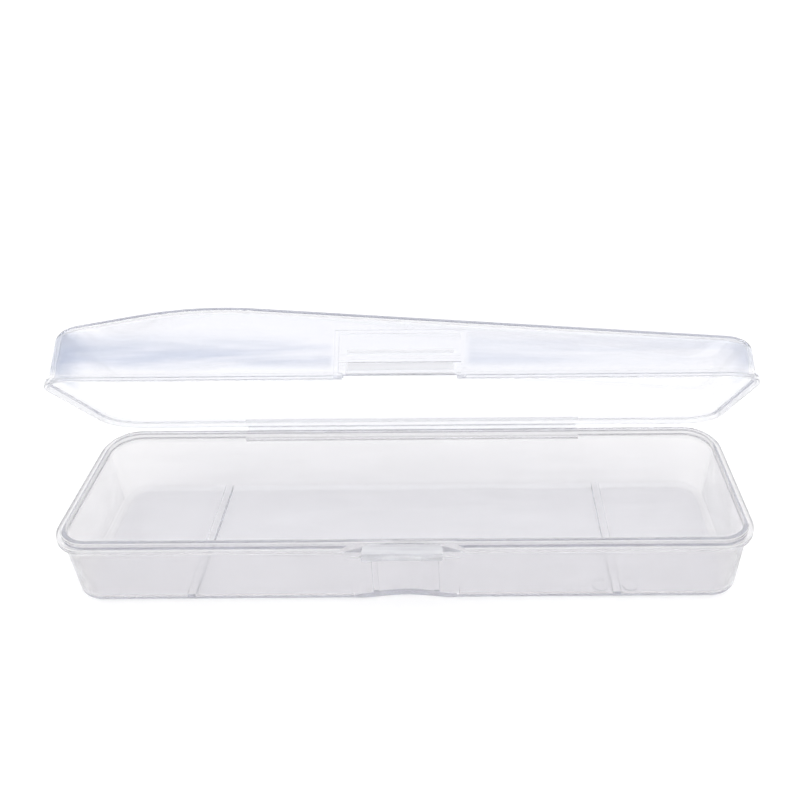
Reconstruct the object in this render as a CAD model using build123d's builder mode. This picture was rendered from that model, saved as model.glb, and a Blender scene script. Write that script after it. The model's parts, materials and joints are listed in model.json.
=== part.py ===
from build123d import *
import os
from math import radians, sqrt, tan

# A pocket travel case moulded in clear polypropylene: a tray, a lid on a living hinge and a flap latch.
# Millimetres, +Z up, +X to the right, and the front with the latch faces -Y.
# The origin is the middle of the tray's underside, which is what the case stands on.

# Driving dimensions of the tray
CASE_LENGTH = 165.0
CASE_WIDTH = 47.4
TRAY_HEIGHT = 19.0
RIM_CORNER = 9.0
WALL = 1.2
FLOOR = 1.3
TRAY_DRAFT = 2.0
FOOT_RADIUS = 2.8
LEDGE_WIDTH = 1.2
LEDGE_THICKNESS = 1.5
LEDGE_EDGE = 0.3
LIP_HEIGHT = 1.0
LIP_EDGE = 0.25

# Ribs and ejector marks on the tray's floor
FLOOR_RIB_LEFT = -52.0
FLOOR_RIB_RIGHT = 51.0
FLOOR_RIB_WIDTH = 2.0
FLOOR_RIB_HEIGHT = 1.2
MARK_DIAMETER = 3.8
MARK_HEIGHT = 0.3
MARK_FROM_RIB = 3.6
MARK_FROM_WALL = 3.85

# Thumb scoop in the front wall of the tray, with two stiffening ribs behind it
SCOOP_DEPTH = 3.1
SCOOP_RADIUS = 33.5
SCOOP_BELOW_LEDGE = 3.9
SCOOP_RIB_SPACING = 15.0
SCOOP_RIB_WIDTH = 1.4
SCOOP_RIB_DEPTH = 0.8

# Driving dimensions of the lid, with its heights measured from its rim
RIM_GAP = 0.3
LID_SET_BACK = 0.1
LID_WALL = 1.1
LID_DRAFT = 3.0
LID_LEFT_HEIGHT = 12.75
LID_PEAK_HEIGHT = 19.15
LID_PEAK_PLACE = -47.5
LID_RIGHT_HEIGHT = 9.8
LID_PEAK_RADIUS = 110.0
LID_TOP_RADIUS = 2.4
BEAD_WIDTH = 0.6
BEAD_HEIGHT = 1.5
BEAD_EDGE = 0.25
LIP_CLEARANCE = 0.2

# Living hinge
LID_OPEN = 48.0
HINGE_LENGTH = 91.0
HINGE_REACH = 0.75
TRAY_BAR_HEIGHT = 2.3
TRAY_BAR_SEAT = 0.2
LID_BAR_HEIGHT = 1.9
WEB_THICKNESS = 0.35
WEB_CUT = 0.05
WEB_SHORT = 0.5

# Latch flap on the tray
NOTCH_WIDTH = 25.6
NOTCH_FLARE = 1.6
FLAP_WIDTH = 18.4
FLAP_LENGTH = 3.9
FLAP_THICKNESS = 1.1
FLAP_ABOVE_LEDGE = 0.4
FLAP_WEB_LENGTH = 0.6
FLAP_ROOT_GAP = 0.1
FLAP_ROOT_BEVEL = 0.75
FLAP_EDGE = 0.2
HOOK_START = 2.4
HOOK_END = 3.3
HOOK_DEPTH = 0.6
TIP_RELIEF = 0.25
TIP_RELIEF_WIDTH = 8.8

# Seat for the flap in the lid, with the catch bar that its hook goes over
SEAT_WIDTH = 27.6
SEAT_HEIGHT = 11.0
SEAT_DEPTH = 1.1
SEAT_TOP_DEPTH = 0.25
CATCH_WIDTH = 24.2
CATCH_HEIGHT = 0.75
CATCH_EDGE = 0.2
FLAP_CLEARANCE = 0.2
RIDGE_START = 4.25
RIDGE_SHOULDER = 5.3
RIDGE_END = 7.0
RIDGE_DEPTH = 0.5

# Places that follow from the dimensions
half_length = CASE_LENGTH / 2
half_width = CASE_WIDTH / 2
tray_half_length = half_length - LEDGE_WIDTH
tray_face = half_width - LEDGE_WIDTH
tray_corner = RIM_CORNER - LEDGE_WIDTH
bead_half_length = half_length - LID_SET_BACK
bead_face = half_width - LID_SET_BACK
bead_corner = RIM_CORNER - LID_SET_BACK
lid_half_length = bead_half_length - BEAD_WIDTH
lid_face = bead_face - BEAD_WIDTH
lid_corner = bead_corner - BEAD_WIDTH
rebate_face = tray_face + LIP_CLEARANCE
hinge_y = half_width + HINGE_REACH
hinge_z = TRAY_HEIGHT + RIM_GAP / 2
flap_y = -tray_face - FLAP_WEB_LENGTH
flap_z = TRAY_HEIGHT + FLAP_ABOVE_LEDGE
scoop_centre = -tray_face + SCOOP_DEPTH - SCOOP_RADIUS
scoop_top = TRAY_HEIGHT - SCOOP_BELOW_LEDGE
catch_face = -flap_y - FLAP_CLEARANCE
seat_floor = -lid_face + SEAT_DEPTH
seat_floor_top = -lid_face + SEAT_HEIGHT * tan(radians(LID_DRAFT)) + SEAT_TOP_DEPTH

# How far a cut starts outside what it cuts
CUT = 4.0

# Planes: the ledge seen from above and below, the tray's cross section, and the lid's rim turned
# open about the hinge, with the lid's front view and cross section standing on it
ledge = Plane.XY.offset(TRAY_HEIGHT)
ledge_down = Plane(ledge.origin, x_dir=(1, 0, 0), z_dir=(0, 0, -1))
tray_section = Plane.YZ
lid_rim = Plane(Pos(0, hinge_y, hinge_z) * Rot(-LID_OPEN, 0, 0) * Pos(0, -hinge_y, RIM_GAP / 2))
lid_front = Plane(lid_rim.origin, x_dir=lid_rim.x_dir, z_dir=-lid_rim.y_dir)
lid_section = Plane(lid_rim.origin, x_dir=lid_rim.y_dir, z_dir=lid_rim.x_dir)


def rectangle_sketch(plane, x_from, x_to, y_from, y_to):
    """A plain rectangle between two pairs of edges, drawn on a plane."""
    with BuildSketch(plane) as area:
        with Locations(((x_from + x_to) / 2, (y_from + y_to) / 2)):
            Rectangle(x_to - x_from, y_to - y_from)
    return area.sketch


def rim_plate(plane, half_long, half_wide, corner, thickness, edge):
    """A flat plate with rounded corners and edges, for the ledge and the bead."""
    with BuildPart() as plate:
        with BuildSketch(plane):
            RectangleRounded(2 * half_long, 2 * half_wide, corner)
        extrude(amount=thickness)
        flat = plate.faces().filter_by(Axis(plane.origin, plane.z_dir))
        fillet(flat.edges(), edge)
    return plate.part


def tray_block(inset, height, foot):
    """The tray's outer form below its ledge, set in on every side."""
    with BuildPart() as block:
        with BuildSketch(ledge_down):
            RectangleRounded(2 * (tray_half_length - inset), 2 * (tray_face - inset), tray_corner - inset)
        extrude(amount=height, taper=TRAY_DRAFT)
        fillet(block.faces().sort_by(Axis.Z)[0].edges(), foot)
    return block.part


def scoop_cutter(grow):
    """The round thumb scoop, standing in front of the tray."""
    with BuildPart() as cutter:
        with BuildSketch(Plane.XY.offset(-CUT)):
            with Locations((0, scoop_centre)):
                Circle(SCOOP_RADIUS + grow)
        extrude(amount=scoop_top + grow + CUT)
    return cutter.part


def lid_block(inset):
    """The lid's outer form above its rim, set in on every side and on top."""
    with BuildPart() as block:
        with BuildSketch(lid_rim):
            RectangleRounded(2 * (lid_half_length - inset), 2 * (lid_face - inset), lid_corner - inset)
        extrude(amount=LID_PEAK_HEIGHT + CUT, taper=LID_DRAFT)
        with BuildSketch(lid_front) as profile:
            with BuildLine():
                Polyline(
                    (-half_length, -CUT),
                    (-half_length, LID_LEFT_HEIGHT - inset),
                    (LID_PEAK_PLACE, LID_PEAK_HEIGHT - inset),
                    (half_length, LID_RIGHT_HEIGHT - inset),
                    (half_length, -CUT),
                    close=True,
                )
            make_face()
            fillet(profile.vertices().sort_by(Axis.Y)[-1], LID_PEAK_RADIUS - inset)
        extrude(amount=CASE_WIDTH, both=True, mode=Mode.INTERSECT)
        # The roof is the left slope, the rounded peak and the right slope
        roof = block.faces().sort_by(Axis(lid_rim.origin, lid_rim.z_dir))[-3:]
        inner = roof.edges().filter_by(Axis(lid_rim.origin, lid_rim.y_dir)).sort_by(Axis.X)[1:-1]
        fillet(roof.edges() - inner, LID_TOP_RADIUS - inset)
    return block.part


def seat_step(wall):
    """The room that the seat takes out of the lid's hollow."""
    with BuildPart() as step:
        with BuildSketch(lid_rim.offset(-CUT)):
            add(
                rectangle_sketch(
                    Plane.XY,
                    -SEAT_WIDTH / 2 - wall,
                    SEAT_WIDTH / 2 + wall,
                    -lid_face - CUT,
                    seat_floor + wall,
                )
            )
        extrude(amount=SEAT_HEIGHT + wall + CUT)
    return step.part


# Tray: the lower shell, with its ledge, lip, thumb scoop and floor ribs
tray_core = tray_block(WALL, TRAY_HEIGHT - FLOOR, FOOT_RADIUS - WALL)
with BuildPart() as tray:
    add(tray_block(0, TRAY_HEIGHT, FOOT_RADIUS))
    # The ledge runs round the rim, and the lip stands on the wall inside it
    add(rim_plate(ledge_down, half_length, half_width, RIM_CORNER, LEDGE_THICKNESS, LEDGE_EDGE))
    with BuildSketch(ledge):
        RectangleRounded(2 * tray_half_length, 2 * tray_face, tray_corner)
    extrude(amount=LIP_HEIGHT)
    fillet(tray.faces().sort_by(Axis.Z)[-1].edges(), LIP_EDGE)
    # Thumb scoop, sunk into the front wall below the latch
    add(scoop_cutter(0), mode=Mode.SUBTRACT)
    # The hollow follows the outside one wall further in
    add(tray_core - scoop_cutter(WALL), mode=Mode.SUBTRACT)
    with BuildSketch(ledge):
        RectangleRounded(2 * (tray_half_length - WALL), 2 * (tray_face - WALL), tray_corner - WALL)
    extrude(amount=LIP_HEIGHT, mode=Mode.SUBTRACT)
    # Low ribs across the floor, and the ejector marks on both sides of the right one
    with BuildSketch(Plane.XY.offset(FLOOR)):
        with Locations((FLOOR_RIB_LEFT, 0), (FLOOR_RIB_RIGHT, 0)):
            Rectangle(FLOOR_RIB_WIDTH, 2 * (tray_face - WALL))
    extrude(amount=FLOOR_RIB_HEIGHT)
    mark_y = -tray_face + WALL + MARK_FROM_WALL
    with BuildSketch(Plane.XY.offset(FLOOR)):
        with Locations((FLOOR_RIB_RIGHT - MARK_FROM_RIB, mark_y), (FLOOR_RIB_RIGHT + MARK_FROM_RIB, mark_y)):
            Circle(MARK_DIAMETER / 2)
    extrude(amount=MARK_HEIGHT)
    # Two upright ribs behind the scoop
    rib_back = scoop_centre + sqrt((SCOOP_RADIUS + WALL) ** 2 - (SCOOP_RIB_SPACING / 2) ** 2)
    with BuildSketch(Plane.XY.offset(FLOOR)):
        with Locations((-SCOOP_RIB_SPACING / 2, rib_back), (SCOOP_RIB_SPACING / 2, rib_back)):
            Rectangle(SCOOP_RIB_WIDTH, 2 * SCOOP_RIB_DEPTH)
    extrude(amount=scoop_top - FLOOR)
    # The ledge is cut away for the latch, wider at its outer edge than at the wall
    with BuildSketch(ledge.offset(LIP_HEIGHT)):
        with BuildLine():
            Polyline(
                (-NOTCH_WIDTH / 2, -tray_face),
                (NOTCH_WIDTH / 2, -tray_face),
                (NOTCH_WIDTH / 2 + NOTCH_FLARE, -half_width),
                (NOTCH_WIDTH / 2 + NOTCH_FLARE, -half_width - CUT),
                (-NOTCH_WIDTH / 2 - NOTCH_FLARE, -half_width - CUT),
                (-NOTCH_WIDTH / 2 - NOTCH_FLARE, -half_width),
                close=True,
            )
        make_face()
    extrude(amount=-LIP_HEIGHT - LEDGE_THICKNESS, mode=Mode.SUBTRACT)
    # Room for the hinge bar in the rear ledge
    with BuildSketch(ledge_down):
        add(
            rectangle_sketch(
                Plane.XY,
                -HINGE_LENGTH / 2,
                HINGE_LENGTH / 2,
                -half_width - CUT,
                -tray_face + TRAY_BAR_SEAT,
            )
        )
    extrude(amount=TRAY_BAR_HEIGHT, mode=Mode.SUBTRACT)
tray.part.label = "tray"

# Lid: the upper shell, drawn open on its hinge
seat_outline = (
    (-lid_face - CUT, BEAD_HEIGHT),
    (seat_floor, BEAD_HEIGHT),
    (seat_floor, RIDGE_START),
    (seat_floor - RIDGE_DEPTH, RIDGE_START),
    (seat_floor - RIDGE_DEPTH, RIDGE_SHOULDER),
    (seat_floor, RIDGE_END),
    (seat_floor_top, SEAT_HEIGHT),
    (-lid_face - CUT, SEAT_HEIGHT),
)
with BuildPart() as lid:
    add(lid_block(0))
    # Bead round the rim
    add(rim_plate(lid_rim, bead_half_length, bead_face, bead_corner, BEAD_HEIGHT, BEAD_EDGE))
    # Seat for the latch flap, sunk into the front wall, with a low ridge across it
    with BuildSketch(lid_section.offset(-SEAT_WIDTH / 2)):
        with BuildLine():
            Polyline(*seat_outline, close=True)
        make_face()
    extrude(amount=SEAT_WIDTH, mode=Mode.SUBTRACT)
    # The hollow follows the outside one wall further in, and steps back behind the seat
    add(lid_block(LID_WALL) - seat_step(LID_WALL), mode=Mode.SUBTRACT)
    # Rebate that goes over the tray's lip
    with BuildSketch(lid_rim):
        RectangleRounded(
            2 * (tray_half_length + LIP_CLEARANCE),
            2 * rebate_face,
            tray_corner + LIP_CLEARANCE,
        )
    extrude(amount=LIP_HEIGHT, mode=Mode.SUBTRACT)
    # The bead and the wall are open below the seat, where the flap comes up
    with BuildSketch(lid_rim):
        add(rectangle_sketch(Plane.XY, -NOTCH_WIDTH / 2, NOTCH_WIDTH / 2, -half_width - CUT, -tray_face + CUT))
    extrude(amount=BEAD_HEIGHT, mode=Mode.SUBTRACT)
    # Room for the hinge bar in the rear bead
    with BuildSketch(lid_rim):
        add(rectangle_sketch(Plane.XY, -HINGE_LENGTH / 2, HINGE_LENGTH / 2, rebate_face, half_width + CUT))
    extrude(amount=LID_BAR_HEIGHT, mode=Mode.SUBTRACT)
lid.part.label = "lid"

# Hinge bars: the thick edges that the thin web joins
with BuildPart() as tray_hinge_bar:
    with BuildSketch(ledge_down):
        add(
            rectangle_sketch(
                Plane.XY, -HINGE_LENGTH / 2, HINGE_LENGTH / 2, -half_width, -tray_face + TRAY_BAR_SEAT
            )
        )
    extrude(amount=TRAY_BAR_HEIGHT)
    fillet(tray_hinge_bar.edges().filter_by(Axis.X).group_by(Axis.Z)[0].sort_by(Axis.Y)[-1], LEDGE_EDGE)
tray_hinge_bar.part.label = "tray_hinge_bar"

with BuildPart() as lid_hinge_bar:
    with BuildSketch(lid_rim):
        add(rectangle_sketch(Plane.XY, -HINGE_LENGTH / 2, HINGE_LENGTH / 2, rebate_face, bead_face))
    extrude(amount=LID_BAR_HEIGHT)
lid_hinge_bar.part.label = "lid_hinge_bar"

# Living hinge web, cut at the line it bends about: one half on the tray and one on the lid
web_half_length = HINGE_LENGTH / 2 - WEB_SHORT
with BuildPart() as hinge_web_tray_side:
    with BuildSketch(ledge_down):
        add(rectangle_sketch(Plane.XY, -web_half_length, web_half_length, -hinge_y + WEB_CUT, -half_width))
    extrude(amount=WEB_THICKNESS)
hinge_web_tray_side.part.label = "hinge_web_tray_side"

with BuildPart() as hinge_web_lid_side:
    with BuildSketch(lid_rim):
        add(rectangle_sketch(Plane.XY, -web_half_length, web_half_length, bead_face, hinge_y - WEB_CUT))
    extrude(amount=WEB_THICKNESS)
hinge_web_lid_side.part.label = "hinge_web_lid_side"

# Latch flap, folded out level, with the hook step on its upper face
flap_outline = (
    (flap_y - FLAP_ROOT_GAP, flap_z),
    (flap_y - HOOK_START, flap_z),
    (flap_y - HOOK_START, flap_z + HOOK_DEPTH),
    (flap_y - HOOK_END, flap_z + HOOK_DEPTH),
    (flap_y - FLAP_LENGTH, flap_z),
    (flap_y - FLAP_LENGTH, flap_z - FLAP_THICKNESS),
    (flap_y - FLAP_ROOT_GAP - FLAP_ROOT_BEVEL, flap_z - FLAP_THICKNESS),
)
with BuildPart() as latch_flap:
    with BuildSketch(tray_section.offset(-FLAP_WIDTH / 2)):
        with BuildLine():
            Polyline(*flap_outline, close=True)
        make_face()
    extrude(amount=FLAP_WIDTH)
    # The tip is a little hollow in the middle, for a fingertip
    with BuildSketch(Plane.XY.offset(flap_z - FLAP_THICKNESS)):
        with Locations((0, flap_y - FLAP_LENGTH)):
            Rectangle(TIP_RELIEF_WIDTH, 2 * TIP_RELIEF)
    extrude(amount=FLAP_THICKNESS + HOOK_DEPTH, mode=Mode.SUBTRACT)
    tip = latch_flap.faces().filter_by(Axis.Y).group_by(Axis.Y)[0]
    fillet(tip.edges(), FLAP_EDGE)
latch_flap.part.label = "latch_flap"

# The thin living hinge at the root of the flap, bevelled below so that the flap also folds down
web_outline = (
    (flap_y + WEB_CUT, flap_z),
    (-tray_face, flap_z),
    (-tray_face, flap_z - WEB_THICKNESS),
    (flap_y + WEB_CUT + WEB_THICKNESS, flap_z - WEB_THICKNESS),
)
with BuildPart() as latch_web:
    with BuildSketch(tray_section.offset(-FLAP_WIDTH / 2 + WEB_SHORT)):
        with BuildLine():
            Polyline(*web_outline, close=True)
        make_face()
    extrude(amount=FLAP_WIDTH - 2 * WEB_SHORT)
latch_web.part.label = "latch_web"

# Catch bar at the foot of the lid's seat, which the hook goes over
with BuildPart() as latch_catch:
    with BuildSketch(lid_rim.offset(BEAD_HEIGHT)):
        add(rectangle_sketch(Plane.XY, -CATCH_WIDTH / 2, CATCH_WIDTH / 2, -catch_face, seat_floor))
    extrude(amount=CATCH_HEIGHT)
    catch_lip = latch_catch.edges().filter_by(Axis.X).group_by(Axis(lid_rim.origin, lid_rim.y_dir))[0]
    fillet(catch_lip, CATCH_EDGE)
latch_catch.part.label = "latch_catch"

os.makedirs("parts", exist_ok=True)
for piece in (
    tray,
    lid,
    tray_hinge_bar,
    lid_hinge_bar,
    hinge_web_tray_side,
    hinge_web_lid_side,
    latch_flap,
    latch_web,
    latch_catch,
):
    export_step(piece.part, f"parts/{piece.part.label}.step")
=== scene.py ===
"""Looks and stage for a clear pocket travel case, built round its CAD frame.

Metres, +Z up. The tray stands on the origin, the latch faces -Y and the lid is drawn 48 degrees open.
"""

import json
from math import cos, radians, sin

import bmesh
import bpy
from bpy.props import FloatProperty, FloatVectorProperty, PointerProperty
from mathutils import Matrix, Vector


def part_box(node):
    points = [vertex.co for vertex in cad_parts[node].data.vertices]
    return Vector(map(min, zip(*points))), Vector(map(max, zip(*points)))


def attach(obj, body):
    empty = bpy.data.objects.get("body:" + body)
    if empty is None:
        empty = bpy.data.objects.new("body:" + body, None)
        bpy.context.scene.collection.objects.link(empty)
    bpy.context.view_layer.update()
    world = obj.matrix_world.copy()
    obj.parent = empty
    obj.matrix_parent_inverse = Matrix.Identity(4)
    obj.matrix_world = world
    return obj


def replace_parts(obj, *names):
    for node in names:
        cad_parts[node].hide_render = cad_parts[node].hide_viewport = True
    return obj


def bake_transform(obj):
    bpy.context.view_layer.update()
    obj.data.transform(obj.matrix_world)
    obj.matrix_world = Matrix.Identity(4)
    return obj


bl_info = {
    "name": "Clear travel case",
    "version": (1, 0, 0),
    "blender": (4, 5, 0),
    "location": "3D View > Sidebar > Travel Case",
    "description": "Finishes the moulded tray, lid and latch, and sets the stage",
    "category": "Object",
}

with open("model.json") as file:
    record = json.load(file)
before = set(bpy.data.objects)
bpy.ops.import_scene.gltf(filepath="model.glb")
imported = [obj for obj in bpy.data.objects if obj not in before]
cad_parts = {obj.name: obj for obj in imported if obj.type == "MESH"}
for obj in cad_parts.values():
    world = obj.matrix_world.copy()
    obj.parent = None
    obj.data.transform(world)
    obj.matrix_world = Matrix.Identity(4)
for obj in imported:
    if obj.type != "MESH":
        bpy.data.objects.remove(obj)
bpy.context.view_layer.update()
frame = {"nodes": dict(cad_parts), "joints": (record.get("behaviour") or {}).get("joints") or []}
MM = 0.001

# The lid's hinge line, and how far open the lid is drawn
LID_AXIS = Vector(next(j for j in frame["joints"] if j["name"] == "lid_hinge")["pos_m"])
LID_OPEN = radians(48)
LID_TURN = Matrix.Rotation(-LID_OPEN, 3, "X")
# Faces that meet at less than this are shaded as one
SMOOTH_ANGLE = radians(32)
# The nodes that the mould makes as one shell. Each is sunk a little into the first, so that no seam is left
SINK = 0.01 * MM
TRAY_NODES = {"tray": None, "tray_hinge_bar": Vector((0, 0, 0))}
LID_NODES = {
    "lid": None,
    "lid_hinge_bar": LID_TURN @ Vector((0, -SINK, SINK)),
    "latch_catch": LID_TURN @ Vector((0, SINK, -SINK)),
}
# How far a web reaches into what it joins, and how strongly its ends hold its bend straight
SEAM = 0.03 * MM
PULL = 0.9
BEND_STEPS = 16
ROOT_STEPS = 8


def linear(hex_colour):
    """An sRGB hex colour as linear red, green, blue and full alpha."""
    parts = [int(hex_colour[i : i + 2], 16) / 255 for i in (1, 3, 5)]
    return tuple(c / 12.92 if c <= 0.04045 else ((c + 0.055) / 1.055) ** 2.4 for c in parts) + (1.0,)


def add_node(tree, kind, sockets=None, **settings):
    """Adds one node to a tree, with its settings, and gives each named socket a value or a link."""
    node = tree.nodes.new(kind)
    for name, value in settings.items():
        setattr(node, name, value)
    for name, value in (sockets or {}).items():
        if isinstance(value, bpy.types.NodeSocket):
            tree.links.new(value, node.inputs[name])
        else:
            node.inputs[name].default_value = value
    return node


def new_material(name):
    """An empty node material."""
    material = bpy.data.materials.new(name)
    material.use_nodes = True
    material.node_tree.nodes.clear()
    return material


def new_piece(name, mesh, body):
    """Puts a finished mesh in the scene, riding on a body when one is given."""
    piece = bpy.data.objects.new(name, mesh)
    bpy.context.scene.collection.objects.link(piece)
    if body:
        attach(piece, body)
    return piece


def merged_copy(node, sink=None):
    """A copy of a CAD node with its loose triangles joined up."""
    mesh = frame["nodes"][node].data.copy()
    work = bmesh.new()
    work.from_mesh(mesh)
    bmesh.ops.remove_doubles(work, verts=work.verts, dist=1e-4 * MM)
    work.to_mesh(mesh)
    work.free()
    if sink:
        mesh.transform(Matrix.Translation(sink))
    copy = bpy.data.objects.new(node + "_copy", mesh)
    bpy.context.scene.collection.objects.link(copy)
    return copy


def settled(piece):
    """The piece's mesh as its modifiers leave it, with nothing left live on it."""
    graph = bpy.context.evaluated_depsgraph_get()
    mesh = bpy.data.meshes.new_from_object(piece.evaluated_get(graph))
    piece.modifiers.clear()
    return mesh


def even_normals(mesh):
    """Averages normals by area where faces meet at a low angle, so that large faces stay flat."""
    if "custom_normal" in mesh.attributes:
        mesh.attributes.remove(mesh.attributes["custom_normal"])
    mesh.shade_smooth()
    around = [[] for vertex in mesh.vertices]
    for face in mesh.polygons:
        for vertex in face.vertices:
            around[vertex].append((face.normal.copy(), face.area))
    least = cos(SMOOTH_ANGLE)
    normals = []
    for face in mesh.polygons:
        for vertex in face.vertices:
            near = (normal * area for normal, area in around[vertex] if normal.dot(face.normal) > least)
            normals.append(sum(near, Vector()).normalized())
    mesh.normals_split_custom_set(normals)


def one_moulding(name, nodes, body, material):
    """One shell in place of the CAD nodes that the mould makes as one, with no faces inside the plastic."""
    copies = [merged_copy(node, sink) for node, sink in nodes.items()]
    first = copies[0]
    for other in copies[1:]:
        join = first.modifiers.new("join", "BOOLEAN")
        join.operation = "UNION"
        join.solver = "EXACT"
        join.object = other
    mesh = settled(first)
    work = bmesh.new()
    work.from_mesh(mesh)
    bmesh.ops.remove_doubles(work, verts=work.verts, dist=1e-3 * MM)
    bmesh.ops.dissolve_degenerate(work, edges=work.edges, dist=1e-3 * MM)
    work.to_mesh(mesh)
    work.free()
    mesh.materials.clear()
    mesh.materials.append(material)
    even_normals(mesh)
    for copy in copies:
        bpy.data.objects.remove(copy)
    piece = new_piece(name, mesh, body)
    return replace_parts(piece, *nodes)


def bent_strip_tree():
    """Geometry Nodes for a thin moulded strip that follows a bend from one edge to another."""
    tree = bpy.data.node_groups.new("bent_strip", "GeometryNodeTree")
    face = tree.interface
    face.new_socket("Geometry", in_out="OUTPUT", socket_type="NodeSocketGeometry")
    for name in ("Start", "Start Pull", "End Pull", "End"):
        face.new_socket(name, in_out="INPUT", socket_type="NodeSocketVector")
    for name in ("Length", "Thickness"):
        face.new_socket(name, in_out="INPUT", socket_type="NodeSocketFloat")
    face.new_socket("Steps", in_out="INPUT", socket_type="NodeSocketInt")
    face.new_socket("Plastic", in_out="INPUT", socket_type="NodeSocketMaterial")
    given = add_node(tree, "NodeGroupInput").outputs
    bend = add_node(
        tree, "GeometryNodeCurvePrimitiveBezierSegment",
        {"Resolution": given["Steps"], "Start": given["Start"], "Start Handle": given["Start Pull"],
         "End Handle": given["End Pull"], "End": given["End"]},
        mode="POSITION",
    )
    outline = add_node(
        tree, "GeometryNodeCurvePrimitiveQuadrilateral",
        {"Width": given["Length"], "Height": given["Thickness"]},
    )
    strip = add_node(
        tree, "GeometryNodeCurveToMesh",
        {"Curve": bend.outputs["Curve"], "Profile Curve": outline.outputs["Curve"], "Fill Caps": True},
    )
    real = add_node(tree, "GeometryNodeRealizeInstances", {"Geometry": strip.outputs["Mesh"]})
    dressed = add_node(
        tree, "GeometryNodeSetMaterial", {"Geometry": real.outputs["Geometry"], "Material": given["Plastic"]}
    )
    add_node(tree, "NodeGroupOutput", {"Geometry": dressed.outputs["Geometry"]})
    return tree


def bent_strip(name, inputs):
    """A finished strip mesh made by the bent strip tree with the given inputs."""
    tree = bpy.data.node_groups.get("bent_strip") or bent_strip_tree()
    maker = bpy.data.objects.new(name, bpy.data.meshes.new(name))
    bpy.context.scene.collection.objects.link(maker)
    step = maker.modifiers.new("strip", "NODES")
    step.node_group = tree
    for item in tree.interface.items_tree:
        if item.name in inputs:
            step[item.identifier] = inputs[item.name]
    mesh = settled(maker)
    bpy.data.objects.remove(maker)
    work = bmesh.new()
    work.from_mesh(mesh)
    bmesh.ops.remove_doubles(work, verts=work.verts, dist=1e-4 * MM)
    bmesh.ops.recalc_face_normals(work, faces=work.faces)
    work.to_mesh(mesh)
    work.free()
    mesh.shade_smooth()
    mesh.set_sharp_from_angle(angle=SMOOTH_ANGLE)
    return mesh


# Gap between the two rims when shut, and the height at which the tray's ledge starts
RIM_GAP = 0.3 * MM
LEDGE_FOOT = 17.5 * MM
# Half length, half width and corner radius of the tray's foot and of the lid's roof
FOOT_OUTLINE = (80.6 * MM, 21.8 * MM, 7.1 * MM)
ROOF_OUTLINE = (80.4 * MM, 22.0 * MM, 7.0 * MM)
# The two slopes of the lid's roof, as places along it and heights above its rim
ROOF_LEFT = ((-82.5 * MM, 12.75 * MM), (-47.5 * MM, 19.15 * MM))
ROOF_RIGHT = ((-47.5 * MM, 19.15 * MM), (82.5 * MM, 9.8 * MM))

# Half length of the hinge bars, where they start, and the height of the band on each where extra milkiness
# paints shade
BAR_HALF_LENGTH = 45.5 * MM
BAR_FACE = 22.2 * MM
TRAY_BAR_SHADE_BAND = (16.6 * MM, 17.5 * MM)
LID_BAR_SHADE_BAND = (1.1 * MM, 2.0 * MM)
# Half width and inner face of the latch seat's middle, where extra milkiness paints shade, and the heights of
# its two painted shade bands above the lid's rim
SEAT_HALF_WIDTH = 12.0 * MM
SEAT_INNER_FACE = -20.3 * MM
SEAT_UNDER = (2.7 * MM, 4.3 * MM)
SEAT_OVER = (6.6 * MM, 7.4 * MM)

PLASTIC_IOR = 1.49
# Share of the light that thick plastic scatters on top, and how many times that share is given where the
# plastic is made milkier as painted shade or painted highlight
THICK_MILK = 0.1
BAR_SHADE_MILK = 4.0
FILLET_HIGHLIGHT_MILK = 8.0
SEAT_SHADE_MILK = 3.4
RIDGE_SHADE_MILK = 6.0
# How thick the floor and the roof's round edge look beside the ledge, which is 1
FLOOR_SHARE = 0.15
ROOF_EDGE_SHARE = 0.6
# Share of lamp light that each face of the plastic lets on
SHADE_TINT = linear("#FCFCFE")
# Mirrored bounces and bounces of any kind after which light is let out of a wall, and its tint then
MOST_GLOSSY = 3.5
MOST_BOUNCES = 9.5
CAUGHT_TINT = linear("#E6E7EC")
# What the plastic does to light that runs far inside it, along a wall or an edge
DEPTH_TINT = linear("#C4C6D0")
DEPTH_DENSITY = 14.0


class CaseFinish(bpy.types.PropertyGroup):
    """Colours and surface of the mouldings."""

    tray_tint: FloatVectorProperty(
        name="Tray tint", description="What one wall of the tray lets through", subtype="COLOR",
        size=4, min=0, max=1, default=linear("#F6F5F6"),
    )
    lid_tint: FloatVectorProperty(
        name="Lid tint", description="What one wall of the lid lets through", subtype="COLOR",
        size=4, min=0, max=1, default=linear("#F8F8FA"),
    )
    # Haze tint and haze share also carry the painted reflection in the lid's front and end walls
    haze_and_reflection_tint: FloatVectorProperty(
        name="Haze tint", description="Colour of the flow haze in the lid's walls", subtype="COLOR",
        size=4, min=0, max=1, default=linear("#D2D8E7"),
    )
    haze_and_reflection_share: FloatProperty(
        name="Haze", description="Share of the light that the thickest haze scatters", subtype="FACTOR",
        min=0, max=1, default=0.18,
    )
    tray_roughness: FloatProperty(
        name="Tray frost", description="Roughness that the mould gives the tray", subtype="FACTOR",
        min=0, max=1, default=0.2,
    )
    lid_roughness: FloatProperty(
        name="Lid frost", description="Roughness that the mould gives the lid", subtype="FACTOR",
        min=0, max=1, default=0.05,
    )
    tray_milk: FloatProperty(
        name="Tray milkiness", description="Share of the light that the tray's plastic scatters",
        subtype="FACTOR", min=0, max=1, default=0.06,
    )
    lid_milk: FloatProperty(
        name="Lid milkiness", description="Share of the light that the lid's plastic scatters",
        subtype="FACTOR", min=0, max=1, default=0.01,
    )
    latch_milk: FloatProperty(
        name="Latch milkiness", description="Share of the light that the latch flap scatters",
        subtype="FACTOR", min=0, max=1, default=0.35,
    )
    web_thickness: FloatProperty(
        name="Hinge web", description="Thickness of the living hinge", subtype="DISTANCE",
        unit="LENGTH", min=0.1 * MM, max=0.6 * MM, default=0.3 * MM,
    )


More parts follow.
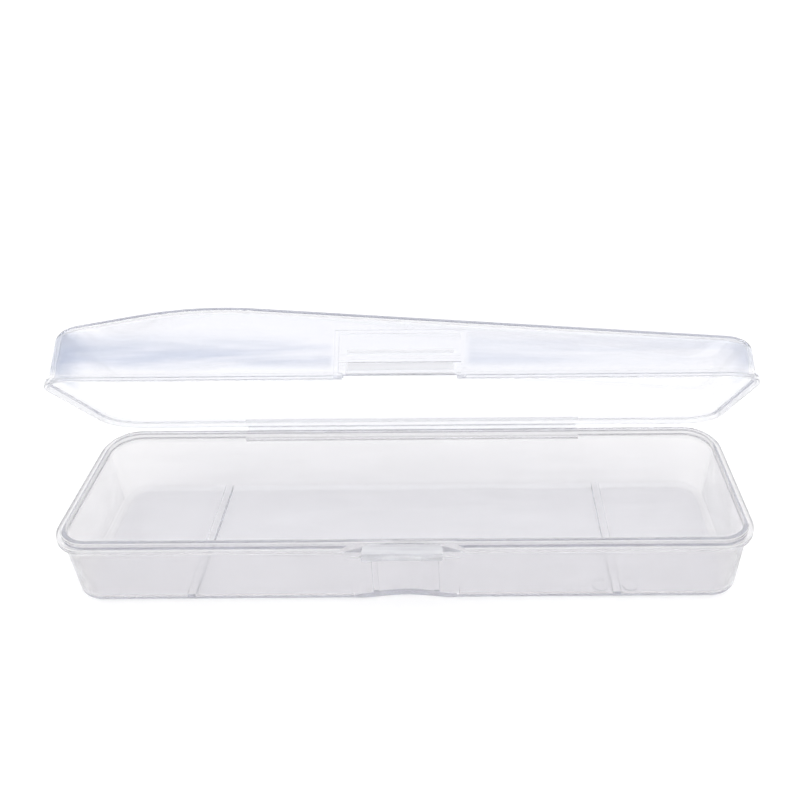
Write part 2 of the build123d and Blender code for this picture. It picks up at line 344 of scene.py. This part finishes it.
def between(tree, value, low, high, to_low=0.0, to_high=1.0):
    """A smooth rise from one value to another while the input goes from low to high."""
    rise = add_node(
        tree, "ShaderNodeMapRange",
        {"Value": value, "From Min": low, "From Max": high, "To Min": to_low, "To Max": to_high},
        interpolation_type="SMOOTHSTEP",
    )
    return rise.outputs["Result"]


def times(tree, first, second):
    """The product of two numbers."""
    return add_node(tree, "ShaderNodeMath", {0: first, 1: second}, operation="MULTIPLY").outputs[0]


def flow_streaks(tree, place, length, width):
    """Streaks that the melt leaves as it runs along the mould, from 0 to 1."""
    stretched = add_node(
        tree, "ShaderNodeMapping", {"Vector": place, "Scale": (1 / length, 1 / width, 1 / width)}
    )
    noise = add_node(
        tree, "ShaderNodeTexNoise",
        {"Vector": stretched.outputs["Vector"], "Scale": 1.0, "Detail": 4.0, "Roughness": 0.55,
         "Distortion": 0.4},
    )
    return noise.outputs["Fac"]


def larger(tree, first, second):
    """The larger of two numbers."""
    return add_node(tree, "ShaderNodeMath", {0: first, 1: second}, operation="MAXIMUM").outputs[0]


def depth_inside(tree, place, half_length, half_width, corner):
    """How far a point lies inside an upright wall with rounded corners."""
    mirrored = add_node(tree, "ShaderNodeVectorMath", {0: place}, operation="ABSOLUTE").outputs[0]
    beyond = add_node(
        tree, "ShaderNodeVectorMath", {0: mirrored, 1: (half_length - corner, half_width - corner, 1.0)},
        operation="SUBTRACT",
    ).outputs[0]
    outward = add_node(
        tree, "ShaderNodeVectorMath", {0: beyond, 1: (0, 0, 0)}, operation="MAXIMUM"
    ).outputs[0]
    reach = add_node(tree, "ShaderNodeVectorMath", {0: outward}, operation="LENGTH").outputs["Value"]
    return add_node(tree, "ShaderNodeMath", {0: corner, 1: reach}, operation="SUBTRACT").outputs[0]


def band(tree, value, low, high, soft):
    """1 between two numbers and 0 outside them, with soft ends."""
    return times(
        tree, between(tree, value, low - soft, low + soft), between(tree, value, high + soft, high - soft)
    )


def facing(tree, way):
    """How squarely a face looks one way."""
    outward = add_node(tree, "ShaderNodeTexCoord").outputs["Normal"]
    turned = add_node(tree, "ShaderNodeVectorMath", {0: outward, 1: way}, operation="DOT_PRODUCT")
    return turned.outputs["Value"]


def fillet_painted_highlight(tree):
    """1 on the small fillets between level and upright faces, where the plastic is made milkier so that they
    show as painted highlight lines.
    """
    up = facing(tree, (0, 0, 1))
    return times(tree, between(tree, up, 0.2, 0.4), between(tree, up, 0.985, 0.94))


def bar_edge_painted_shade(tree, parts, height, up):
    """1 on the upright faces along a hinge bar's edge, where the plastic is made milkier as painted shade."""
    aside = add_node(tree, "ShaderNodeMath", {0: parts["X"]}, operation="ABSOLUTE").outputs[0]
    along = between(tree, aside, BAR_HALF_LENGTH + 0.1 * MM, BAR_HALF_LENGTH)
    behind = between(tree, parts["Y"], BAR_FACE - 0.2 * MM, BAR_FACE)
    level = add_node(tree, "ShaderNodeMath", {0: facing(tree, up)}, operation="ABSOLUTE").outputs[0]
    upright = times(tree, between(tree, level, 0.6, 0.3), band(tree, parts["Z"], *height, 0.1 * MM))
    return times(tree, times(tree, along, behind), upright)


def seat_painted_shade(tree, parts):
    """Painted shade in the latch seat, made as extra milkiness: under its ridge, most at the ridge, and where
    the ridge runs out.
    """
    height = parts["Z"]
    top = SEAT_UNDER[1]
    edge = between(tree, height, top - 0.35 * MM, top - 0.1 * MM, SEAT_SHADE_MILK, RIDGE_SHADE_MILK)
    under = times(tree, band(tree, height, *SEAT_UNDER, 0.15 * MM), edge)
    over = times(tree, band(tree, height, *SEAT_OVER, 0.3 * MM), SEAT_SHADE_MILK)
    aside = add_node(tree, "ShaderNodeMath", {0: parts["X"]}, operation="ABSOLUTE").outputs[0]
    middle = between(tree, aside, SEAT_HALF_WIDTH + 0.4 * MM, SEAT_HALF_WIDTH - 0.4 * MM)
    front = between(tree, parts["Y"], SEAT_INNER_FACE + 0.3 * MM, SEAT_INNER_FACE - 0.3 * MM)
    return times(tree, larger(tree, under, over), times(tree, middle, front))


def tray_thickness(tree, place):
    """1 where the tray is thick, at its ledge, lip and foot, less in the floor, and 0 in the walls; more on
    the hinge bar's edge band, milkier as painted shade, and on the ledge and lip fillets, milkier as painted
    highlight.
    """
    parts = add_node(tree, "ShaderNodeSeparateXYZ", {"Vector": place}).outputs
    height = parts["Z"]
    ledge = between(tree, height, LEDGE_FOOT - 0.6 * MM, LEDGE_FOOT - 0.2 * MM)
    floor = between(tree, height, 1.9 * MM, 1.4 * MM, 0.0, FLOOR_SHARE)
    inside = depth_inside(tree, place, *FOOT_OUTLINE)
    foot = between(tree, larger(tree, inside, height), 2.8 * MM, 1.6 * MM)
    thick = larger(tree, ledge, larger(tree, floor, foot))
    # Painted shade and painted highlight: the bar's edge band and the fillets of the ledge and lip are made
    # milkier than any thick place
    cloud_and_painted_light = times(tree, bar_edge_painted_shade(tree, parts, TRAY_BAR_SHADE_BAND, (0, 0, 1)), BAR_SHADE_MILK)
    rim = between(tree, height, LEDGE_FOOT - 0.6 * MM, LEDGE_FOOT)
    fillets = times(tree, times(tree, fillet_painted_highlight(tree), rim), FILLET_HIGHLIGHT_MILK)
    return larger(tree, thick, larger(tree, cloud_and_painted_light, fillets))


def lid_thickness(tree, place):
    """1 where the lid is thick, at its bead, and less at the roof's round edge, in the lid's directions; more
    on the hinge bar's edge band and the latch seat's bands, which are milkier as painted shade.
    """
    parts = add_node(tree, "ShaderNodeSeparateXYZ", {"Vector": place}).outputs
    bead = between(tree, parts["Z"], 2.4 * MM, 1.8 * MM)
    slopes = []
    for (x1, z1), (x2, z2) in (ROOF_LEFT, ROOF_RIGHT):
        rise = (z2 - z1) / (x2 - x1)
        slopes.append(add_node(
            tree, "ShaderNodeMath", {0: parts["X"], 1: rise, 2: z1 - rise * x1}, operation="MULTIPLY_ADD"
        ).outputs[0])
    roof = add_node(tree, "ShaderNodeMath", {0: slopes[0], 1: slopes[1]}, operation="MINIMUM").outputs[0]
    below = add_node(tree, "ShaderNodeMath", {0: roof, 1: parts["Z"]}, operation="SUBTRACT").outputs[0]
    inside = depth_inside(tree, place, *ROOF_OUTLINE)
    edge = between(tree, larger(tree, inside, below), 2.4 * MM, 1.4 * MM, 0.0, ROOF_EDGE_SHARE)
    # The hinge bar's edge band is made milkier as painted shade
    cloud_and_painted_light = times(tree, bar_edge_painted_shade(tree, parts, LID_BAR_SHADE_BAND, LID_TURN @ Vector((0, 0, 1))), BAR_SHADE_MILK)
    return larger(tree, larger(tree, bead, edge), larger(tree, cloud_and_painted_light, seat_painted_shade(tree, parts)))


def haze_and_painted_reflection(tree, place):
    """Flow haze with painted reflection in the lid's front wall, and painted reflection in its end walls,
    from 0 to 1, in the lid's own directions.
    """
    parts = add_node(tree, "ShaderNodeSeparateXYZ", {"Vector": place}).outputs
    wall = between(tree, parts["Y"], -20.4 * MM, -21.2 * MM)
    above = between(tree, parts["Z"], 2.2 * MM, 4.5 * MM)
    below = between(tree, parts["Z"], 13.0 * MM, 7.0 * MM)
    # Clear round the latch seat, strongest towards the deep end
    aside = add_node(tree, "ShaderNodeMath", {0: parts["X"]}, operation="ABSOLUTE").outputs[0]
    clear = between(tree, aside, 14.0 * MM, 16.5 * MM)
    deep = between(tree, parts["X"], 66 * MM, -70 * MM, 0.35, 1.0)
    cloud_and_painted_light = between(tree, flow_streaks(tree, place, 45 * MM, 4.5 * MM), 0.33, 0.62)
    haze = times(tree, times(tree, wall, above), times(tree, below, clear))
    front = times(tree, haze, times(tree, deep, cloud_and_painted_light))
    # The end walls are seen nearly edge on and get a painted reflection, bluest in front and at the deep end
    end = times(tree, between(tree, aside, 74 * MM, 81 * MM), between(tree, parts["Y"], 2 * MM, -18 * MM))
    end = times(tree, end, between(tree, parts["X"], 66 * MM, -70 * MM, 0.6, 1.0))
    return larger(tree, front, times(tree, end, above))


def polypropylene(name, tint, roughness, milk, thick=None, haze_and_reflection_tint=None, haze_and_reflection_share=0.0):
    """Clear polypropylene from a polished mould: soft gloss, a little milk and pale grey edges to the eye."""
    material = new_material(name)
    tree = material.node_tree
    place = add_node(tree, "ShaderNodeTexCoord").outputs["Object"]
    if thick is lid_thickness:
        # The lid's own directions: along it, from front to back of its rim, and up from the rim
        shift = Vector((0, LID_AXIS.y, -RIM_GAP / 2)) - LID_TURN.transposed() @ LID_AXIS
        place = add_node(
            tree, "ShaderNodeMapping", {"Vector": place, "Rotation": (LID_OPEN, 0, 0), "Location": shift}
        ).outputs["Vector"]
    # Flow marks about 12 mm across make the gloss a little uneven
    flow = add_node(tree, "ShaderNodeTexNoise", {"Vector": place, "Scale": 1 / (12 * MM), "Detail": 3.0})
    gloss = between(tree, flow.outputs["Fac"], 0.3, 0.7, roughness * 0.8, roughness * 1.2)
    # Ripple left by the mould's polishing, about 3 mm across and a few microns deep
    ripple = add_node(tree, "ShaderNodeTexNoise", {"Vector": place, "Scale": 1 / (3 * MM), "Detail": 2.0})
    bump = add_node(
        tree, "ShaderNodeBump", {"Height": ripple.outputs["Fac"], "Strength": 0.15, "Distance": 0.05 * MM}
    )
    # The melt's streaks, about 30 mm long and 5 mm wide, let through a little more or less light
    streaks = flow_streaks(tree, place, 30 * MM, 5 * MM)
    share = between(tree, streaks, 0.3, 0.7, 1 - milk * 0.8, 1 - milk * 1.2)
    colour = tint
    if thick:
        # Thick plastic scatters more of the light
        milky = add_node(
            tree, "ShaderNodeMath", {0: thick(tree, place), 1: -THICK_MILK, 2: 1.0}, operation="MULTIPLY_ADD"
        )
        share = times(tree, share, milky.outputs[0])
    if haze_and_reflection_tint:
        # Flow haze and painted reflection: the lid's walls are made milkier and bluer there
        haze = haze_and_painted_reflection(tree, place)
        share = add_node(
            tree, "ShaderNodeMath", {0: haze, 1: -haze_and_reflection_share, 2: share}, operation="MULTIPLY_ADD"
        ).outputs[0]
        mix = add_node(tree, "ShaderNodeMix", {"Factor": haze}, data_type="RGBA")
        mix.inputs[6].default_value = tint
        mix.inputs[7].default_value = haze_and_reflection_tint
        colour = mix.outputs[2]
    body = add_node(
        tree, "ShaderNodeBsdfPrincipled",
        {"Base Color": colour, "Roughness": gloss, "IOR": PLASTIC_IOR,
         "Transmission Weight": share, "Normal": bump.outputs["Normal"]},
    )
    path = add_node(tree, "ShaderNodeLightPath").outputs
    # Light that has bounced often inside a wall is let out, because it would end there and leave black edges
    caught, late = (
        add_node(tree, "ShaderNodeMath", {0: path[name], 1: most}, operation="GREATER_THAN").outputs[0]
        for name, most in (("Glossy Depth", MOST_GLOSSY), ("Ray Depth", MOST_BOUNCES))
    )
    let_out = add_node(tree, "ShaderNodeBsdfTransparent", {"Color": CAUGHT_TINT})
    inner = add_node(
        tree, "ShaderNodeMixShader",
        {"Fac": larger(tree, caught, late), 1: body.outputs["BSDF"], 2: let_out.outputs["BSDF"]},
    )
    # Lamp light goes on through the wall, so that the floor and the inside aren't in black shade
    passed = add_node(tree, "ShaderNodeBsdfTransparent", {"Color": SHADE_TINT})
    wall = add_node(
        tree, "ShaderNodeMixShader",
        {"Fac": path["Is Shadow Ray"], 1: inner.outputs["Shader"], 2: passed.outputs["BSDF"]},
    )
    depth = add_node(tree, "ShaderNodeVolumeAbsorption", {"Color": DEPTH_TINT, "Density": DEPTH_DENSITY})
    add_node(
        tree, "ShaderNodeOutputMaterial",
        {"Surface": wall.outputs["Shader"], "Volume": depth.outputs["Volume"]},
    )
    return material


class CASE_OT_tray(bpy.types.Operator):
    """Make the tray moulding with its hinge bar in lightly frosted polypropylene"""

    bl_idname = "case.tray"
    bl_label = "Tray"

    def execute(self, context):
        look = context.scene.case_finish
        plastic = polypropylene(
            "frosted_polypropylene", tuple(look.tray_tint), look.tray_roughness, look.tray_milk,
            tray_thickness,
        )
        one_moulding("tray_moulding", TRAY_NODES, "tray_body", plastic)
        return {"FINISHED"}


class CASE_OT_lid(bpy.types.Operator):
    """Make the lid moulding with its hinge bar and catch in glossy clear polypropylene"""

    bl_idname = "case.lid"
    bl_label = "Lid"

    def execute(self, context):
        look = context.scene.case_finish
        plastic = polypropylene(
            "glossy_polypropylene", tuple(look.lid_tint), look.lid_roughness, look.lid_milk, lid_thickness,
            tuple(look.haze_and_reflection_tint), look.haze_and_reflection_share,
        )
        one_moulding("lid_moulding", LID_NODES, "lid_body", plastic)
        return {"FINISHED"}


class CASE_OT_latch(bpy.types.Operator):
    """Finish the latch flap and make the web that it bends on"""

    bl_idname = "case.latch"
    bl_label = "Latch flap"

    def execute(self, context):
        look = context.scene.case_finish
        plastic = polypropylene(
            "latch_polypropylene", tuple(look.lid_tint), look.lid_roughness, look.latch_milk
        )
        for slot in frame["nodes"]["latch_flap"].material_slots:
            slot.material = plastic
        low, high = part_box("latch_web")
        level = (low.z + high.z) / 2
        flap_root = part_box("latch_flap")[1].y
        mesh = bent_strip("latch_root", {
            "Start": (0, high.y - SEAM, level), "Start Pull": (0, high.y * 2 / 3 + flap_root / 3, level),
            "End Pull": (0, high.y / 3 + flap_root * 2 / 3, level), "End": (0, flap_root + SEAM, level),
            "Length": high.x - low.x, "Thickness": high.z - low.z, "Steps": ROOT_STEPS, "Plastic": plastic,
        })
        web = new_piece("latch_root", mesh, None)
        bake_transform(web)
        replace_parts(web, "latch_web")
        return {"FINISHED"}


class CASE_OT_hinge(bpy.types.Operator):
    """Make the living hinge web between the two bars"""

    bl_idname = "case.hinge"
    bl_label = "Living hinge"

    def execute(self, context):
        look = context.scene.case_finish
        plastic = polypropylene(
            "hinge_polypropylene", tuple(look.lid_tint), look.tray_roughness, look.tray_milk
        )
        thick = look.web_thickness
        axis = LID_AXIS
        low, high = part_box("hinge_web_tray_side")
        start = Vector((0, low.y + SEAM, high.z - thick / 2))
        # The lid's end is the tray's end mirrored in the shut rim plane, then turned open with the lid
        end = axis + LID_TURN @ (Vector((0, start.y, 2 * axis.z - start.z)) - axis)
        pull = (axis - start).length * PULL
        mesh = bent_strip("living_hinge", {
            "Start": start, "Start Pull": start + Vector((0, pull, 0)),
            "End Pull": end + LID_TURN @ Vector((0, pull, 0)), "End": end,
            "Length": high.x - low.x, "Thickness": thick, "Steps": BEND_STEPS, "Plastic": plastic,
        })
        web = new_piece("living_hinge", mesh, None)
        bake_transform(web)
        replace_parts(web, "hinge_web_tray_side", "hinge_web_lid_side")
        return {"FINISHED"}


# Plain light of the world, the floor's share of glow, and the colour of the room in front as gloss shows it
SOFT_LIGHT = 0.75
FLOOR_GLOW = 0.35
ROOM_TINT = linear("#D3D9E3")
PAPER = linear("#E8E8E8")
WHITE = (1, 1, 1, 1)
FLOOR_REACH = 6.0
FLOOR_BELOW = 0.05 * MM
# The wide lamp: how wide it looks from the case, its strength and the way to it
LAMP_ANGLE = radians(100)
LAMP_STRENGTH = 0.83
LAMP_WAY = (-0.15, -0.25, 0.85)
# The camera, worked out from the rim, ledge and lid lines of the real thing
CAMERA_PLACE = (0.01421, -0.16955, 0.15569)
CAMERA_TURN = (radians(-0.46), radians(32.56), radians(-0.72))
CAMERA_LENS = 38.70
CAMERA_SENSOR = 36.0
CAMERA_SHIFT = (-0.0718, -0.0148)


def seen_directly(tree):
    """1 for a ray that the viewer sees, straight or through gloss or clear plastic, and 0 for plain light."""
    path = add_node(tree, "ShaderNodeLightPath").outputs
    gloss = add_node(
        tree, "ShaderNodeMath", {0: path["Is Camera Ray"], 1: path["Is Glossy Ray"]}, operation="MAXIMUM"
    )
    seen = add_node(
        tree, "ShaderNodeMath", {0: gloss.outputs[0], 1: path["Is Transmission Ray"]}, operation="MAXIMUM"
    )
    return seen.outputs[0]


class CASE_OT_stage(bpy.types.Operator):
    """Add the pale floor, the soft studio light and the camera"""

    bl_idname = "case.stage"
    bl_label = "Stage"

    def execute(self, context):
        scene = context.scene
        scene.view_settings.view_transform = "Standard"
        # Floor: paper that takes the shadow, and is just white where nothing shades it
        mesh = bpy.data.meshes.new("floor")
        corners = ((-1, -1), (1, -1), (1, 1), (-1, 1))
        mesh.from_pydata(
            [(x * FLOOR_REACH, y * FLOOR_REACH, -FLOOR_BELOW) for x, y in corners], [], [(0, 1, 2, 3)]
        )
        floor = bpy.data.objects.new("floor", mesh)
        scene.collection.objects.link(floor)
        paper = new_material("white_seamless_paper")
        tree = paper.node_tree
        glow = times(tree, seen_directly(tree), FLOOR_GLOW)
        matt = add_node(
            tree, "ShaderNodeBsdfPrincipled",
            {"Base Color": PAPER, "Roughness": 0.9, "Specular IOR Level": 0.0,
             "Emission Color": WHITE, "Emission Strength": glow},
        )
        add_node(tree, "ShaderNodeOutputMaterial", {"Surface": matt.outputs["BSDF"]})
        mesh.materials.append(paper)
        # World: white where it is seen, plain soft light elsewhere, and in gloss a dimmer room in front
        world = bpy.data.worlds.new("studio")
        scene.world = world
        world.use_nodes = True
        tree = world.node_tree
        tree.nodes.clear()
        around = add_node(tree, "ShaderNodeTexCoord").outputs["Generated"]
        way = add_node(tree, "ShaderNodeSeparateXYZ", {"Vector": around}).outputs
        room = between(tree, way["Y"], 0.25, -0.45)
        gloss = add_node(tree, "ShaderNodeLightPath").outputs["Is Glossy Ray"]
        mix = add_node(tree, "ShaderNodeMix", {"Factor": times(tree, room, gloss)}, data_type="RGBA")
        mix.inputs[6].default_value = WHITE
        mix.inputs[7].default_value = ROOM_TINT
        strength = between(tree, seen_directly(tree), 0.0, 1.0, SOFT_LIGHT, 1.0)
        sky = add_node(tree, "ShaderNodeBackground", {"Color": mix.outputs[2], "Strength": strength})
        add_node(tree, "ShaderNodeOutputWorld", {"Surface": sky.outputs["Background"]})
        # One wide soft lamp high in front on the left, the same strength over the whole floor
        lamp = bpy.data.lights.new("softbox", "SUN")
        lamp.angle = LAMP_ANGLE
        lamp.energy = LAMP_STRENGTH
        box = bpy.data.objects.new("softbox", lamp)
        box.rotation_euler = Vector(LAMP_WAY).to_track_quat("Z", "Y").to_euler()
        scene.collection.objects.link(box)
        # Camera: looking down from in front, turned about the world's upright and then about its own line
        yaw, pitch, roll = CAMERA_TURN
        ahead = Vector((sin(yaw) * cos(pitch), cos(yaw) * cos(pitch), -sin(pitch)))
        level = Vector((cos(yaw), -sin(yaw), 0))
        upright = level.cross(ahead)
        right = level * cos(roll) + upright * sin(roll)
        top = upright * cos(roll) - level * sin(roll)
        lens = bpy.data.cameras.new("camera")
        lens.sensor_width = CAMERA_SENSOR
        lens.lens = CAMERA_LENS
        lens.shift_x, lens.shift_y = CAMERA_SHIFT
        lens.clip_start = 0.005
        camera = bpy.data.objects.new("camera", lens)
        turn = Matrix((right, top, -ahead)).transposed().to_4x4()
        camera.matrix_world = Matrix.Translation(CAMERA_PLACE) @ turn
        scene.collection.objects.link(camera)
        scene.camera = camera
        return {"FINISHED"}


class CASE_PT_panel(bpy.types.Panel):
    """Sidebar panel with the case's operators"""

    bl_idname = "CASE_PT_panel"
    bl_label = "Travel Case"
    bl_space_type = "VIEW_3D"
    bl_region_type = "UI"
    bl_category = "Travel Case"

    def draw(self, context):
        look = context.scene.case_finish
        for name in CaseFinish.__annotations__:
            self.layout.prop(look, name)
        for operator in OPERATORS:
            self.layout.operator(operator.bl_idname)


OPERATORS = (CASE_OT_tray, CASE_OT_lid, CASE_OT_hinge, CASE_OT_latch, CASE_OT_stage)
CLASSES = (CaseFinish,) + OPERATORS + (CASE_PT_panel,)


def register():
    for item in CLASSES:
        bpy.utils.register_class(item)
    bpy.types.Scene.case_finish = PointerProperty(type=CaseFinish)


def unregister():
    del bpy.types.Scene.case_finish
    for item in reversed(CLASSES):
        bpy.utils.unregister_class(item)


def main():
    """Builds everything in order."""
    register()
    for operator in OPERATORS:
        group, name = operator.bl_idname.split(".")
        getattr(getattr(bpy.ops, group), name)()


if __name__ == "__main__":
    main()
